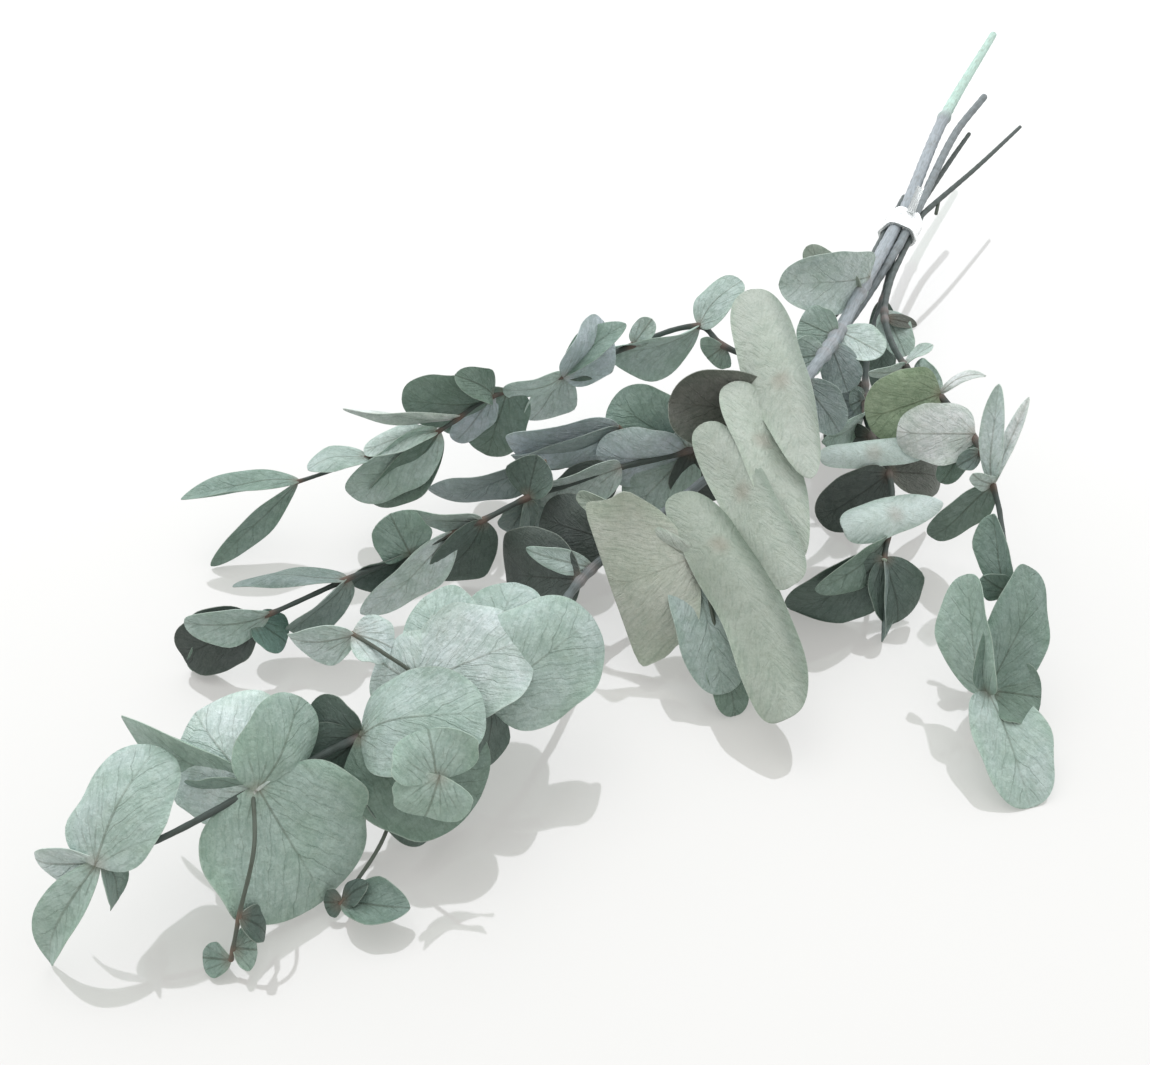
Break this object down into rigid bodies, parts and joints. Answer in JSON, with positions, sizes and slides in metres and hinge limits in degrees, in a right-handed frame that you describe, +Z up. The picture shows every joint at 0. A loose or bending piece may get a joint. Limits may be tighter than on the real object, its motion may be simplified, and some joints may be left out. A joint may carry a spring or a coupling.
{
  "type": "tied bunch of eucalyptus branches",
  "caption": "Leafy eucalyptus branches with round, grey-green leaves, tied together near their cut ends and lying on a table.",
  "frame": {"origin": "on the table under the middle of the bunch's box", "axes": "+Z up from the table, +Y away from the camera, towards the cut ends"},
  "size_m": [0.3658, 0.4956, 0.077],
  "materials": {
    "front_left_leaf": "waxy",
    "low_left_leaf": "waxy",
    "upper_left_leaf": "waxy",
    "centre_leaf": "waxy",
    "right_leaf": "waxy",
    "far_right_leaf": "waxy",
    "tie_film": "satin"
  },
  "bodies": {
    "root": {"branch_front_left": "front_left_leaf", "branch_low_left": "low_left_leaf", "branch_upper_left": "upper_left_leaf", "branch_centre": "centre_leaf", "branch_right": "right_leaf", "branch_far_right": "far_right_leaf", "tie_band": "tie_film"}
  },
  "joints": []
}
